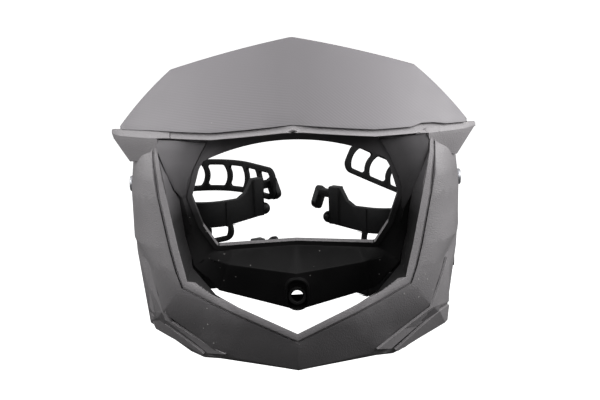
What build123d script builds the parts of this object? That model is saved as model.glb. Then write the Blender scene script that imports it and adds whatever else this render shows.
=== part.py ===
from build123d import *
from math import cos, degrees, radians, sin, tan
import os

os.makedirs("parts", exist_ok=True)

# Motorcycle headlight mask, in millimetres.
# X points to the viewer's right, the front faces -Y and Z points up along the fork tubes.
# The origin is the middle of the lamp aperture's plane, moved back to where the lamp pivots.

# Walls and clearances
wall = 2.6
visor_wall = 2.4
seat_gap = 0.3

# Size of the mask from ear tip to ear tip, and the size at which its outlines are written below
mask_width = 267.0
written_width = 267

# Front frame
strip_raise = 3.2
strip_flank = 0.5
groove_width = 1.1
pillar_raise = 1.3
layer_step = 2.6
second_layer_step = 1.9

# Lamp ring
ring_tilt = 15.0
ring_depth = 5.0
ring_proud = 0.9
ring_ahead = 15.0
ring_rim = 4.0
arch_radius = 145.0
arch_top = 46.5
ring_top = 49.5
ring_bottom = -38.2
ring_corner_radius = 6.0

# Cross panel and its boss
hood_width = 17.6
hood_height = 29.0
hood_rim = 1.5
hood_proud = 1.8
hood_recess = 1.6
boss_diameter = 13.4
boss_height = -73.7
boss_front = -18.0
boss_back = -11.4
adjuster_hole = 8.8

# Lip and ears
lip_wall = 3.0
shelf_depth = 9.0
ear_wall = 3.0
ear_round = 3.0

# Visor
visor_front = -41.0
visor_sweep = 39.0
visor_half_width = 130.0
visor_lean = 35.0
visor_round = 5.0
visor_bulge = 1.6
apex_round = 12.0
sheet_half_width = 136.0
sheet_low = 45.0
sheet_high = 125.0
tongue_height = 15.0
tongue_lap = 5.0
seal_height = 4.5
seal_margin = 4.0
cut_reach = 200.0

# Visor fastening
visor_screw_places = (34.0, 86.0)
visor_screw_rise = 8.5
post_diameter = 7.0
post_clearance = 0.5
post_proud = 0.6
visor_screw_core = 3.0
visor_screw_length = 4.4
visor_screw_head = 11.0
visor_screw_head_height = 1.8
visor_flange = 1.2
cross_length = 4.4
cross_width = 1.1

# Side pads and their screws
pad_diameter = 21.0
upper_pad_outside = 121.0
upper_pad_length = 6.6
lower_pad_outside = 112.4
lower_pad_length = 7.2
pad_depth = 27.0
recess_clearance = 1.5
upper_screw_height = 5.0
lower_screw_height = -76.0
screw_diameter = 6.0
screw_clearance = 0.6
head_diameter = 12.0
head_height = 3.0
socket_across = 4.0
hex_across_flats = 10.0
thread_gap = 0.1
washer_diameter = 16.0
washer_thickness = 1.0
nut_height = 6.0
thread_past_nut = 1.5

# Fork brackets
fork_diameter = 54.0
fork_spacing = 144.0
fork_depth = 80.0
cradle_wall = 5.0
band_height = 20.0
upper_band_middle = -26.0
lower_band_middle = -81.0
cradle_start = -8.0
cradle_end = -125.0
tail_length = 34.0
tab_wall = 5.0
tab_width = 22.0
slot_travel = 16.0
slot_margin = 4.7
arm_angle = -42.0
arm_straight = 14.0
arm_bend = 6.0
tip_length = 10.0
tip_wall = 8.0
hook_rise = 18.0
hook_height = 18.0
hook_width = 11.0
hook_wall = 4.5
stem_size = 6.0
stem_length = 6.0
lug_slack = 5.8
hook_turn = 32.0
hook_drop = 4.0
knob_diameter = 9.5
tip_rise = 4.0
flare_length = 16.0

# Rubber straps
strap_wall = 3.2
strap_width = 26.0
strap_rail = 4.4
strap_end_round = 9.0
rung_width = 4.6
rung_bow = 3.0
stem_gap = 0.6
hole_count = 8
free_hole_count = 5


def mirrored(shape):
    return mirror(shape, about=Plane.YZ)


def both_sides(shape):
    return [shape, mirrored(shape)]


def merge(shapes):
    """Fuses shapes that overlap into one clean solid."""
    first, *rest = shapes
    return first.fuse(*rest).clean()


def sized(value):
    """Brings numbers written for the written width, also nested ones, to the mask's width."""
    if isinstance(value, dict):
        return {key: item if key == "steps" else sized(item) for key, item in value.items()}
    if isinstance(value, (list, tuple)):
        return type(value)(sized(item) for item in value)
    return value * mask_width / written_width


# Sections of a thin wall

def parallel(points, distance):
    """The line of (along, depth) points moved to its left by a distance, with mitred corners."""
    moved = []
    for i, (along, depth) in enumerate(points):
        normals = []
        for j in (i - 1, i):
            if 0 <= j < len(points) - 1:
                run = points[j + 1][0] - points[j][0]
                rise = points[j + 1][1] - points[j][1]
                length = (run**2 + rise**2) ** 0.5
                normals.append((-rise / length, run / length))
        if len(normals) == 1:
            normals *= 2
        (ax, ay), (bx, by) = normals
        reach = distance / (1 + ax * bx + ay * by)
        moved.append((along + (ax + bx) * reach, depth + (ay + by) * reach))
    return moved


def placed(start, end, points):
    """Puts (along, depth) points on the upright plane that runs from start to end in front view."""
    run, rise = end[0] - start[0], end[1] - start[1]
    length = (run**2 + rise**2) ** 0.5
    return [
        Vector(start[0] + along * run / length, depth, start[1] + along * rise / length)
        for along, depth in points
    ]


def section(corners, bows=()):
    """A closed face through the corners, where each bowed index is the pull of a curved side."""
    edges = []
    count = len(corners)
    i = 0
    while i < count:
        here, following = corners[i], corners[(i + 1) % count]
        if (i + 1) % count in bows:
            edges.append(Edge.make_bezier(here, following, corners[(i + 2) % count]))
            i += 2
        else:
            edges.append(Edge.make_line(here, following))
            i += 1
    return edges


def skinned(sections):
    """A closed solid whose matching edges are joined from each section to the next."""
    faces = [Face(Wire(sections[0])), Face(Wire(sections[-1]))]
    for near, far in zip(sections, sections[1:]):
        faces += [Face.make_surface_from_curves(a, b) for a, b in zip(near, far)]
    solid = Solid(Shell(faces))
    return solid if solid.volume > 0 else Solid(Shell([-face for face in faces]))


# Front frame: pillar, corner and chin in one run of sections, from the lip to the middle of the chin
# Each station gives where it starts and points in front view, then (along, depth) of each corner:
# rear edge of the inner wall, front edge, pull of the bowed face, first layer, second layer,
# outermost corner and rear edge.

frame_stations = sized([
    dict(start=(96.4, 51), toward=(120, 51), inner=(0.4, -24), front=-27, strip=3.4, pull=(12, -15),
         layer=(20, 4), layer2=(20.8, 12), corner=(21, 16), rear=(19.4, 24), steps=0.12),
    dict(start=(95.4, 34), toward=(120, 34), inner=(-0.8, -29), front=-32, strip=4.2, pull=(20, -22),
         layer=(23, 4), layer2=(24.2, 20), corner=(24.6, 26), rear=(23, 40), steps=0.12),
    dict(start=(91.2, 6), toward=(120, 6), inner=(-6.4, -17), front=-39, strip=4.8, pull=(27, -29),
         layer=(30, 4), layer2=(31.6, 27), corner=(32, 34), rear=(30.4, 56), steps=0.12),
    dict(start=(84, -29), toward=(120, -29), inner=(-2, -5), front=-44, strip=5, pull=(31, -36),
         layer=(36, -2), layer2=(38.2, 16), corner=(38.9, 28), rear=(37.3, 57), steps=0.15),
    dict(start=(79.8, -46), toward=(120, -46), inner=(-1.6, -3), front=-46, strip=5, pull=(26, -40),
         layer=(30.4, -9), layer2=(38.8, 8), corner=(41.2, 20), rear=(39.8, 56), steps=0.5),
    dict(start=(78.3, -53.1), toward=(111.5, -97.5), inner=(-2.4, -14), front=-47, strip=5,
         pull=(20, -38), layer=(34.5, -28), layer2=(43.4, -20), corner=(55.4, 2), rear=(54, 50), steps=1),
    dict(start=(57.6, -63), toward=(80, -115), inner=(1.4, -43), front=-53, strip=5.2,
         pull=(22, -45), layer=(38.6, -36), layer2=(50.4, -25), corner=(56.6, -17), rear=(54.6, 20), steps=1),
    dict(start=(47, -67.8), toward=(69.6, -116), inner=(2.4, -45), front=-56, strip=5.2,
         pull=(22.5, -48.5), layer=(40.4, -41), layer2=(50.6, -32), corner=(53.2, -29), rear=(51, 0),
         steps=0.9),
    dict(start=(40, -71), toward=(56.6, -114.6), inner=(2.8, -47), front=-57.4, strip=5.2,
         pull=(22.5, -51), layer=(42.6, -43), layer2=(45.4, -39), corner=(46.6, -37), rear=(44.6, -10),
         steps=0.3),
    dict(start=(0, -89.9), toward=(0, -121.8), inner=(3, -50), front=-61, strip=5.2,
         pull=(18, -56), layer=(30.4, -49.5), layer2=(31.2, -48), corner=(31.9, -46), rear=(30, -24),
         steps=0.12),
])


def frame_section(station):
    front = station["front"]
    strip = station["strip"]
    step = layer_step * station["steps"]
    step2 = second_layer_step * station["steps"]
    edge = (0, front)
    floor = front + strip_raise
    groove = (strip + strip_flank, floor)
    groove_end = (strip + strip_flank + groove_width, floor)
    shoulder = (strip + 2 * strip_flank + groove_width, floor - pillar_raise)
    layer, layer2 = station["layer"], station["layer2"]
    lowered = (layer[0] - step * 0.3, layer[1] + step)
    lowered2 = (layer2[0] - step2 * 0.3, layer2[1] + step2)
    skin = [station["inner"], edge, (strip, front), groove, groove_end, shoulder, station["pull"],
            layer, lowered, layer2, lowered2, station["corner"], station["rear"]]
    simple = [station["inner"], (0, floor), groove_end, station["pull"], lowered,
              station["corner"], station["rear"]]
    core = parallel(simple, wall)[::-1]
    points = placed(station["start"], station["toward"], skin + core)
    return section(points, bows=(skin.index(station["pull"]), len(skin) + 3))


def make_frame_half():
    return skinned([frame_section(station) for station in frame_stations])


# Panel between the lamp ring and the frame: cheek, funnel and cross panel

def ring_depth_at(height):
    return -ring_ahead - height * tan(radians(ring_tilt))


ring_half_outline = [(0, ring_top), (60.5, 46.9), (72.5, 25.3), (79.2, 2.2), (71.8, -22.3),
                     (60.4, -41.4), (0, ring_bottom)]

panel_stations = sized([
    dict(start=(0, ring_top - 1), toward=(0, 56), crease=(2.5, -33), end=(5.5, -38)),
    dict(start=(59.5, 46), toward=(65, 54), crease=(2.5, -31), end=(5, -34)),
    dict(start=(66, 36.5), toward=(99, 50.5), crease=(16, -28), end=(35.5, -25)),
    dict(start=(71.8, 25), toward=(96, 33), crease=(13, -26), end=(25, -28.5)),
    dict(start=(78.4, 2.2), toward=(88, 3), crease=(4, -16), end=(8.5, -14)),
    dict(start=(71, -22), toward=(84, -29.5), crease=(7, -6), end=(13.5, -3)),
    dict(start=(59.6, -40.8), toward=(78, -54), crease=(10, -2), end=(21.5, -1)),
    dict(start=(46, -39.8), toward=(58.4, -71.5), crease=(11, -12), end=(34, -6)),
    dict(start=(0, ring_bottom + 0.8), toward=(0, -86.4), crease=(17.6, -24), end=(49, -12)),
])


def panel_section(station):
    depth = ring_depth_at(station["start"][1]) + ring_proud
    front = [(0, depth), station["crease"], station["end"]]
    points = placed(station["start"], station["toward"], front + parallel(front, wall)[::-1])
    return section(points)


def make_panel_half():
    return skinned([panel_section(station) for station in panel_stations])


def make_ring():
    """The raised rim round the lamp aperture, square to the lamp's tilted axis."""
    lamp_plane = Plane(origin=(0, -ring_ahead, 0), x_dir=(1, 0, 0),
                       z_dir=(0, -cos(radians(ring_tilt)), -sin(radians(ring_tilt))))
    stretch = 1 / cos(radians(ring_tilt))
    right = [(x, z * stretch) for x, z in ring_half_outline]
    left = [(-x, z) for x, z in right[-2:0:-1]]
    outline = make_face(Polyline(*right, *left, close=True))
    outline = fillet(outline.vertices(), ring_corner_radius)
    opening = offset(outline, -ring_rim)
    arch = Pos(0, arch_top - arch_radius) * Circle(arch_radius)
    aperture = opening & arch
    return extrude(lamp_plane * (outline - aperture), -ring_depth), lamp_plane * aperture


def make_boss():
    """The arched hood on the cross panel and the short collar in it that holds the adjuster."""
    middle = panel_stations[-1]
    top = middle["start"][1] - middle["crease"][0]
    foot = middle["start"][1] - middle["end"][0]
    along = Vector(0, middle["end"][1] - middle["crease"][1], foot - top).normalized()
    height = boss_height + hood_width * 0.1
    share = (height - top) / along.Z
    slope = Plane(origin=Vector(0, middle["crease"][1], top) + along * share, x_dir=(1, 0, 0),
                  z_dir=along.cross(Vector(1, 0, 0)))
    outside = slope * Rot(0, 0, 90) * SlotOverall(hood_height, hood_width)
    inside = slope * Rot(0, 0, 90) * SlotOverall(hood_height - 2 * hood_rim, hood_width - 2 * hood_rim)
    hood = extrude(outside, hood_proud) + extrude(outside, -wall - hood_recess / 2)
    recess = extrude(inside, 2 * hood_proud) + extrude(inside, -hood_recess)
    collar = Pos(0, (boss_front + boss_back) / 2, boss_height) * Rot(90, 0, 0) * Cylinder(
        boss_diameter / 2, boss_back - boss_front)
    hole = Pos(0, (boss_front + boss_back) / 2, boss_height) * Rot(90, 0, 0) * Cylinder(
        adjuster_hole / 2, 3 * (boss_back - boss_front))
    return hood, recess, collar, hole


# Lip and ears

def front_line(x):
    """Depth of the lip and the visor's foot at a distance from the middle."""
    return visor_front + visor_sweep * (abs(x) / visor_half_width) ** 2.5


lip_stations = sized([(0, 52.8, 57.4), (59, 47.2, 52.4), (100, 47.6, 52.6), (133.5, 47.4, 50)])
ear_corners = sized([(97, -1, 50), (134.2, 0.5, 49.4), (118.2, 24.9, 25)])


def lip_section(x, low, high):
    depth = front_line(x)
    outline = [(x, depth - 0.6, low), (x, depth + 0.6, high), (x, depth + shelf_depth, high),
               (x, depth + shelf_depth, high - lip_wall), (x, depth + 0.6 + lip_wall, high - lip_wall),
               (x, depth - 0.6 + lip_wall, low)]
    return section([Vector(*point) for point in outline])


def make_lip_half():
    return skinned([lip_section(*station) for station in lip_stations])


def make_ear():
    top_inner, tip, foot = [Vector(x, front_line(x) + behind, z) for x, behind, z in ear_corners]
    normal = (tip - top_inner).cross(foot - top_inner).normalized()
    if normal.Y > 0:
        normal = -normal
    plane = Plane(origin=top_inner, x_dir=(tip - top_inner).normalized(), z_dir=normal)
    corners = [plane.to_local_coords(point) for point in (top_inner, tip, foot)]
    face = make_face(Polyline(*[(c.X, c.Y) for c in corners], close=True))
    tip_corner = face.vertices().sort_by_distance((corners[1].X, corners[1].Y))[0]
    face = fillet(tip_corner, ear_round)
    return extrude(plane * face, -ear_wall)


# Visor and the tongue behind it

def curved_sheet(behind, thickness, low, high):
    """The swept front line as a leaning sheet, a distance behind the visor's face."""
    half = [sheet_half_width * i / 6 for i in range(7)]
    slope = tan(radians(visor_lean))

    def line(back):
        places = [(-x, front_line(x) + back, 0) for x in half[:0:-1]]
        places += [(x, front_line(x) + back, 0) for x in half]
        return Spline(*places)

    front, rear = line(behind), line(behind + thickness)
    ends = [Line(front @ 1, rear @ 1), Line(rear @ 0, front @ 0)]
    foot = visor_foot[0][1]
    shape = make_face(Curve() + [front, rear, *ends])
    shape = Pos(0, (low - foot) * slope, low) * shape
    return extrude(shape, (high - low) / cos(radians(visor_lean)),
                   dir=(0, sin(radians(visor_lean)), cos(radians(visor_lean))))


visor_foot = sized([(0, 57.8), (58, 53), (101, 53.2), (128, 52.2)])
lifted_foot = sized([(0, 57.8), (58, 53), (84, 53.1), (92, 55), (101, 54.6), (110, 53), (128, 52.2)])
visor_top = sized([(88.7, 94), (0, 115.8)])


def bowed(start, end, bulge):
    """An arc that stands a little outside the straight line between two points."""
    start, end = Vector(*start), Vector(*end)
    across = (end - start).cross(Vector(0, 0, 1)).normalized()
    return ThreePointArc(start, (start + end) / 2 + across * bulge, end)


def make_visor_outline():
    shoulder, apex = visor_top
    edges = []
    for foot, side in ((lifted_foot, 1), (visor_foot, -1)):
        half = [Line(a, b) for a, b in zip(foot, foot[1:])]
        half += [bowed(foot[-1], shoulder, visor_bulge), bowed(shoulder, apex, visor_bulge)]
        edges += half if side == 1 else [mirror(edge, about=Plane.YZ) for edge in half]
    outline = make_face(Curve() + edges)
    corner = outline.vertices().sort_by(Axis.Y)[-1]
    outline = fillet(corner, apex_round)
    shoulders = outline.vertices().filter_by(lambda v: abs(abs(v.X) - shoulder[0]) < 1)
    outline = fillet(shoulders, visor_round)
    tips = outline.vertices().filter_by(lambda v: abs(v.X) > visor_foot[-1][0] - 1)
    return fillet(tips, visor_round / 3)


def through(outline):
    """A front outline cut right through from front to back."""
    return extrude(Plane.XZ * outline, cut_reach, both=True)


def make_visor():
    sheet = curved_sheet(0, visor_wall / cos(radians(visor_lean)), sheet_low, sheet_high)
    return sheet & through(make_visor_outline())


def make_tongue():
    behind = (visor_wall + seat_gap) / cos(radians(visor_lean))
    high_line = visor_foot[0][1] + 1.2 * tongue_height
    sheet = curved_sheet(behind, wall / cos(radians(visor_lean)), sheet_low, high_line)
    end_x, end_z = visor_foot[-1]
    seal = [(end_x - seal_margin, end_z + seal_height), (visor_foot[2][0], visor_foot[2][1] + seal_height)]
    low = [(x, z - tongue_lap) for x, z in visor_foot[:3]] + [(end_x - seal_margin, end_z - tongue_lap)]
    high = seal + [(x, z + tongue_height) for x, z in visor_foot[:3]][::-1]
    right = low + high
    left = [(-x, z) for x, z in right[-2:0:-1]]
    return sheet & through(make_face(Polyline(*right, *left, close=True)))


# Places that the side walls, brackets and screws share

def screw_rows():
    """Level name, pad faces, screw height and band height of the upper and lower brackets."""
    return [
        ("upper", upper_pad_outside, upper_pad_outside - upper_pad_length, upper_screw_height,
         upper_band_middle),
        ("lower", lower_pad_outside, lower_pad_outside - lower_pad_length, lower_screw_height,
         lower_band_middle),
    ]


def along_x(start, end, diameter, depth, height):
    """A round bar from one X to another."""
    return Pos((start + end) / 2, depth, height) * Rot(0, 90, 0) * Cylinder(diameter / 2, end - start)


def visor_screw_frames():
    """A plane at each visor screw, on the visor's rear face and pointing to the rear."""
    lean = radians(visor_lean)
    frames = []
    for x in visor_screw_places:
        height = visor_foot_height(x) + visor_screw_rise
        slope = visor_sweep * 2.5 / visor_half_width * (x / visor_half_width) ** 1.5
        depth = front_line(x) + (height - visor_foot[0][1]) * tan(lean) + visor_wall / cos(lean)
        rearward = Vector(-slope * cos(lean), cos(lean), -sin(lean)).normalized()
        frames.append(Plane(origin=(x, depth, height), z_dir=rearward))
    return frames


def visor_foot_height(x):
    (x0, z0), (x1, z1) = visor_foot[0], visor_foot[1]
    return z0 + (z1 - z0) * min(x / x1, 1)


# Gap from the visor's rear face to the head of a visor screw
post_reach = seat_gap + wall + post_proud


def make_visor_with_posts():
    sheet = make_visor()
    posts, pilots = [], []
    for frame in visor_screw_frames():
        post = frame * Pos(0, 0, (post_reach - visor_wall / 2) / 2) * Cylinder(
            post_diameter / 2, post_reach + visor_wall / 2)
        pilot = frame * Pos(0, 0, post_reach - visor_screw_length / 2) * Cylinder(
            visor_screw_core / 2 + 0.05, visor_screw_length + 0.4)
        posts += both_sides(post)
        pilots += both_sides(pilot)
    return merge([sheet] + posts) - pilots


def make_visor_screw(frame):
    """Flanged screw with a cross recess, seated on a post of the visor."""
    flange = Pos(0, 0, visor_flange / 2) * Cylinder(visor_screw_head / 2, visor_flange)
    dome = Pos(0, 0, visor_flange) * Cone(visor_screw_head / 3, visor_screw_head / 4,
                                          visor_screw_head_height,
                                          align=(Align.CENTER, Align.CENTER, Align.MIN))
    shank = Pos(0, 0, -visor_screw_length / 2) * Cylinder(visor_screw_core / 2, visor_screw_length)
    cross = Box(cross_length, cross_width, visor_screw_head_height) + Box(
        cross_width, cross_length, visor_screw_head_height)
    recess = Pos(0, 0, visor_flange + visor_screw_head_height) * cross
    return frame * Pos(0, 0, post_reach) * (flange + dome + shank - recess)


def make_mask_shell():
    ring, _ = make_ring()
    hood, hood_inside, collar, adjuster = make_boss()
    pieces = both_sides(make_frame_half()) + both_sides(make_panel_half())
    pieces += both_sides(make_lip_half()) + both_sides(make_ear()) + [ring, make_tongue()]
    pieces = [merge(pieces + [hood]) - hood_inside, collar]
    holes = [adjuster]
    for _, outside, inside, height, _ in screw_rows():
        pieces += both_sides(along_x(inside, outside, pad_diameter, pad_depth, height))
        holes += both_sides(along_x(inside - wall, outside + wall, screw_diameter + screw_clearance,
                                    pad_depth, height))
        holes += both_sides(along_x(outside, outside + 2 * wall, washer_diameter + recess_clearance,
                                    pad_depth, height))
    for frame in visor_screw_frames():
        holes += both_sides(frame * Cylinder(post_diameter / 2 + post_clearance, 6 * wall))
    return merge(pieces) - holes


# Side screws, washers and lock nuts

def make_side_screw(outside, inside, height):
    """Button-head screw with a hex socket, its head on the washer outside the side wall."""
    seat = outside + washer_thickness
    tip = inside - tab_wall - nut_height - thread_past_nut
    head = along_x(seat, seat + head_height, head_diameter, pad_depth, height)
    crown = head.edges().filter_by(GeomType.CIRCLE).sort_by(Axis.X)[-1]
    head = fillet(crown, head_height * 0.45)
    shank = along_x(tip, seat, screw_diameter, pad_depth, height)
    socket = extrude(Plane(origin=(seat + head_height, pad_depth, height), z_dir=(-1, 0, 0))
                     * RegularPolygon(socket_across / 2, 6, major_radius=False), head_height * 0.6)
    return head + shank - socket


def make_side_washer(outside, height):
    disc = along_x(outside, outside + washer_thickness, washer_diameter, pad_depth, height)
    return disc - along_x(outside - wall, outside + wall, screw_diameter + screw_clearance,
                          pad_depth, height)


def make_lock_nut(inside, height):
    """Hexagon with a round collar that grips the thread."""
    seat = inside - tab_wall
    hexagon = extrude(Plane(origin=(seat, pad_depth, height), z_dir=(-1, 0, 0))
                      * RegularPolygon(hex_across_flats / 2, 6, major_radius=False), nut_height * 0.7)
    collar = along_x(seat - nut_height, seat, hex_across_flats * 0.86, pad_depth, height)
    bore = along_x(seat - 2 * nut_height, seat + wall, screw_diameter + thread_gap, pad_depth, height)
    return hexagon + collar - bore


# Fork brackets

fork_radius = fork_diameter / 2
fork_axis = (fork_spacing / 2, fork_depth)
cradle_radius = fork_radius + cradle_wall / 2


def on_circle(radius, angle):
    return Vector(fork_axis[0] + radius * cos(radians(angle)),
                  fork_axis[1] + radius * sin(radians(angle)))


tail_start = on_circle(cradle_radius, cradle_end)
tail_direction = Vector(sin(radians(cradle_end)), -cos(radians(cradle_end)))
tail_tip = tail_start + tail_direction * tail_length


def upright(path, thickness, low, high):
    """A strip of even thickness that follows a path in plan, between two heights."""
    start = path @ 0
    across = (path % 0).cross(Vector(0, 0, 1))
    profile = Plane(origin=(start.X, start.Y, (low + high) / 2), x_dir=across, z_dir=path % 0)
    lifted = Pos(0, 0, (low + high) / 2) * path
    return sweep(profile * Rectangle(thickness, high - low), lifted)


def block(centre, direction, length, thickness, low, high):
    """An upright block that is long in one direction and centred on a point in plan."""
    plane = Plane(origin=(centre.X, centre.Y, (low + high) / 2), x_dir=direction, z_dir=(0, 0, 1))
    return plane * Box(length, thickness, high - low)


def make_tee(root, direction, height, reach, turn, drop=0):
    """Stem and head that a hole of the strap hooks over."""
    plane = Plane(origin=(root.X, root.Y, height), x_dir=direction, z_dir=(0, 0, 1))
    stem = plane * Pos(reach / 2, 0, 0) * Box(reach + 2, stem_size, stem_size)
    head = Box(hook_wall, hook_width, hook_height)
    head = fillet(head.edges().filter_by(Axis.X), hook_width * 0.35)
    head = plane * Pos(reach + hook_wall / 2, 0, -drop) * Rot(turn, 0, 0) * head
    return stem + head


def make_tail(low, high, hook_middle):
    """Tail whose upper edge flares up to the hook."""
    plane = Plane(origin=(tail_start.X, tail_start.Y, 0), x_dir=tail_direction,
                  z_dir=tail_direction.cross(Vector(0, 0, 1)))
    top = hook_middle + stem_size
    outline = Polyline((-1, low), (tail_length, low + tip_rise), (tail_length, top),
                       (tail_length - tip_length, top), (tail_length - flare_length, high + tip_rise),
                       (tail_length / 3, high), (-1, high), close=True)
    side = plane * make_face(outline)
    tail = extrude(side, cradle_wall / 2, both=True)
    thick = block(tail_tip - tail_direction * tip_length / 2, tail_direction, tip_length, tip_wall,
                  low + tip_rise, top)
    return tail + fillet(thick.edges().filter_by(Axis.Z), 1.5)


def make_bracket(inside, screw_height, band_middle, slide):
    """Slotted tab, arm, open cradle and hooked tail of the right-hand bracket."""
    low, high = band_middle - band_height / 2, band_middle + band_height / 2
    hook_middle = band_middle + hook_rise
    reach = (slot_travel + screw_diameter + screw_clearance) / 2 + slot_margin
    tab_low = min(low, screw_height - reach)
    tab_high = max(high, screw_height + reach)
    tab = Pos(inside - tab_wall / 2, pad_depth, (tab_low + tab_high) / 2) * Box(
        tab_wall, tab_width, tab_high - tab_low)
    tab = fillet(tab.edges().filter_by(Axis.X), tab_width * 0.3)
    slot = extrude(Plane(origin=(inside, pad_depth, screw_height), x_dir=(0, 0, 1), z_dir=(-1, 0, 0))
                   * SlotCenterToCenter(slot_travel, screw_diameter + screw_clearance),
                   3 * tab_wall, both=True)
    arm_start = Vector(inside - tab_wall / 2, pad_depth + tab_width * 0.25)
    arm_end = on_circle(cradle_radius, arm_angle)
    arm_middle = Vector(arm_start.X, arm_start.Y + arm_straight)
    arm = upright(FilletPolyline(arm_start, arm_middle, arm_end, radius=arm_bend), tab_wall, low, high)
    cradle = upright(CenterArc(fork_axis, cradle_radius, cradle_start, cradle_end - cradle_start),
                     cradle_wall, low, high)
    hook = make_tee(tail_tip, tail_direction, hook_middle, stem_length + strap_wall, hook_turn,
                    hook_drop)
    knob_centre = tail_tip + tail_direction * knob_diameter * 0.2
    knob = Pos(knob_centre.X, knob_centre.Y, low + tip_rise + knob_diameter / 2) * Sphere(
        knob_diameter / 2)
    post_out = on_circle(cradle_radius, cradle_start)
    outward = (post_out - Vector(*fork_axis)).normalized()
    post = block(post_out, outward, cradle_wall, tip_length, low, hook_middle + stem_size)
    lug = make_tee(post_out + outward * cradle_wall / 2, outward, hook_middle,
                   strap_radius - fork_radius - cradle_wall + strap_wall / 2 + lug_slack, 0)
    body = merge([tab, arm, cradle, make_tail(low, high, hook_middle), hook, knob, post, lug])
    return Pos(0, 0, slide) * (body - slot)


# Rubber straps

hook_point = tail_tip + tail_direction * (stem_length + strap_wall / 2 - seat_gap)
strap_radius = (Vector(*fork_axis) - hook_point).dot(Vector(-tail_direction.X, -tail_direction.Y) * -1)
strap_radius = abs(strap_radius)
leave_angle = cradle_end + 270
leave_point = on_circle(strap_radius, leave_angle)
strap_run = radians(leave_angle - cradle_start) * strap_radius + (hook_point - leave_point).length


def strap_point(distance, straight_from):
    """Plan place and direction at a distance from the lug, for a strap that leaves its arc early."""
    arc = radians(straight_from - cradle_start) * strap_radius
    angle = cradle_start + degrees(min(distance, arc) / strap_radius)
    onward = Vector(-sin(radians(angle)), cos(radians(angle)))
    return on_circle(strap_radius, angle) + onward * max(distance - arc, 0), onward


def make_strap(band_middle, straight_from, holes_used, rise, roll):
    """Ladder strap on the lug of a right-hand bracket, turned about the lug."""
    pitch = (strap_run + rung_width + stem_size + 2 * stem_gap) / hole_count
    half = (pitch - rung_width) / 2
    first = half - rung_bow - stem_size / 2 - stem_gap
    last = first + pitch * (holes_used - 1)
    margin = half + rung_bow + strap_rail
    arc_start = cradle_start - degrees((margin - rung_bow - first) / strap_radius)
    end, onward = strap_point(last + margin, straight_from)
    arc_end = min(straight_from, cradle_start + degrees((last + margin) / strap_radius))
    path = CenterArc(fork_axis, strap_radius, arc_start, arc_end - arc_start)
    if arc_end == straight_from:
        path = Curve() + [path, Line(path @ 1, end)]
    band = upright(path, strap_wall, -strap_width / 2, strap_width / 2)
    tips = band.edges().filter_by(lambda e: abs(e.length - strap_wall) < 0.01)
    band = fillet(tips, strap_end_round)
    height = strap_width - 2 * strap_rail
    outline = make_face(Curve() + [
        ThreePointArc((-half, -height / 2), (-half + rung_bow, 0), (-half, height / 2)),
        Line((-half, height / 2), (half, height / 2)),
        ThreePointArc((half, height / 2), (half + rung_bow, 0), (half, -height / 2)),
        Line((half, -height / 2), (-half, -height / 2)),
    ])
    outline = fillet(outline.vertices(), 2)
    holes = []
    for i in range(holes_used):
        spot, onward = strap_point(first + pitch * i, straight_from)
        plane = Plane(origin=(spot.X, spot.Y, 0), x_dir=onward, z_dir=onward.cross(Vector(0, 0, 1)))
        holes.append(extrude(plane * outline, 3 * strap_wall, both=True))
    lug, _ = strap_point(0, straight_from)
    strap = Pos(-lug.X, -lug.Y, 0) * (band - holes)
    return Pos(lug.X, lug.Y, band_middle + hook_rise) * Rot(rise, roll, 0) * strap


# How far each bracket has slid in its slot, and how its strap lies:
# where the strap leaves its arc, the holes it has, its rise to the rear and its roll

bracket_slides = {("upper", "left"): 0, ("upper", "right"): -8, ("lower", "left"): 6,
                  ("lower", "right"): -4}
strap_poses = {
    ("upper", "left"): (leave_angle, hole_count, 0, 0),
    ("upper", "right"): (118, free_hole_count + 1, -12, 24),
    ("lower", "left"): (125, free_hole_count, -6, 12),
    ("lower", "right"): (115, free_hole_count, -4, 6),
}


def save(name, shape):
    shape.label = name
    export_step(shape, f"parts/{name}.step")


def build_all():
    """Every piece of the mask by name."""
    nodes = {"mask_shell": make_mask_shell(), "visor_panel": make_visor_with_posts()}
    for level, outside, inside, height, band in screw_rows():
        fittings = {
            "side_screw": make_side_screw(outside, inside, height),
            "side_washer": make_side_washer(outside, height),
            "lock_nut": make_lock_nut(inside, height),
        }
        for kind, right in fittings.items():
            nodes[f"{kind}_{level}_right"] = right
            nodes[f"{kind}_{level}_left"] = mirrored(right)
        for side in ("left", "right"):
            slide = bracket_slides[level, side]
            bracket = make_bracket(inside, height, band, slide)
            strap = make_strap(band + slide, *strap_poses[level, side])
            placed_pair = [mirrored(bracket), mirrored(strap)] if side == "left" else [bracket, strap]
            nodes[f"fork_bracket_{level}_{side}"], nodes[f"rubber_strap_{level}_{side}"] = placed_pair
    for place, frame in zip(("inner", "outer"), visor_screw_frames()):
        screw = make_visor_screw(frame)
        nodes[f"visor_screw_{place}_right"] = screw
        nodes[f"visor_screw_{place}_left"] = mirrored(screw)
    return nodes


for name, shape in build_all().items():
    save(name, shape)
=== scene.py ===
# %% [markdown]
# # A motorcycle headlight mask
#
# The real object is a black injection moulding that surrounds a headlight. A separate visor with a
# woven carbon look is screwed to its top, four plastic brackets stand behind it, and rubber ladder
# straps tie those brackets to the fork tubes.
#
# The solids come from the CAD model, packed as a fixed frame. This lesson gives them soft moulded
# edges, finishes, lights and a camera. Everything is in metres, in the CAD model's own frame:
# X to the viewer's right, the front faces -Y, and Z points up.

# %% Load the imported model
from math import cos, pi, radians, sin, tau

import bpy
from mathutils import Matrix, Vector


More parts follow.
